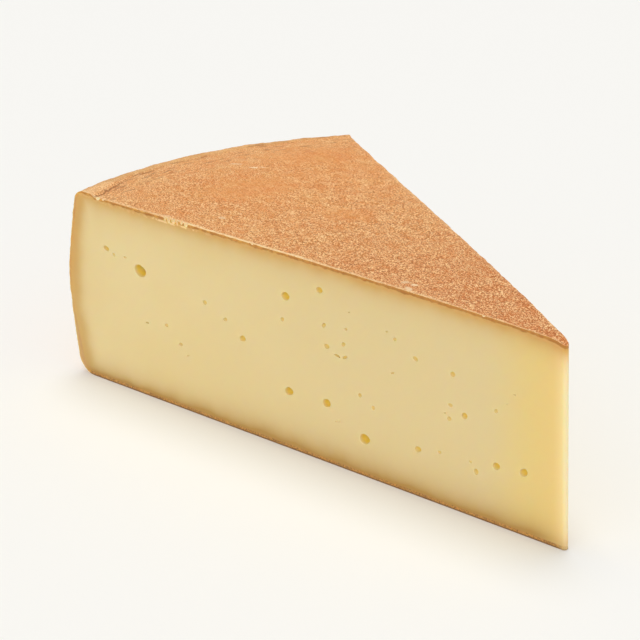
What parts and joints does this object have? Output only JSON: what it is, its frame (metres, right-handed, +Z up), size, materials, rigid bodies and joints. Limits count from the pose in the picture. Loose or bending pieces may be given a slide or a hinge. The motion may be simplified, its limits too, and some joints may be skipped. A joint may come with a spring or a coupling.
{
  "type": "cheese wedge",
  "caption": "Wedge of semi-hard washed-rind cheese cut from a small wheel, pale paste with scattered eyes between two cut faces, orange-tan rind on top, edge and foot.",
  "frame": {"origin": "middle of the bounding box at the level of the foot", "axes": "+X towards the tip along the middle of the wedge, +Y towards the far cut, +Z up from the foot to the top rind"},
  "size_m": [0.1976, 0.1096, 0.0651],
  "materials": {
    "cheese": "satin"
  },
  "bodies": {
    "root": {"cheese_wedge": "cheese"}
  },
  "joints": []
}
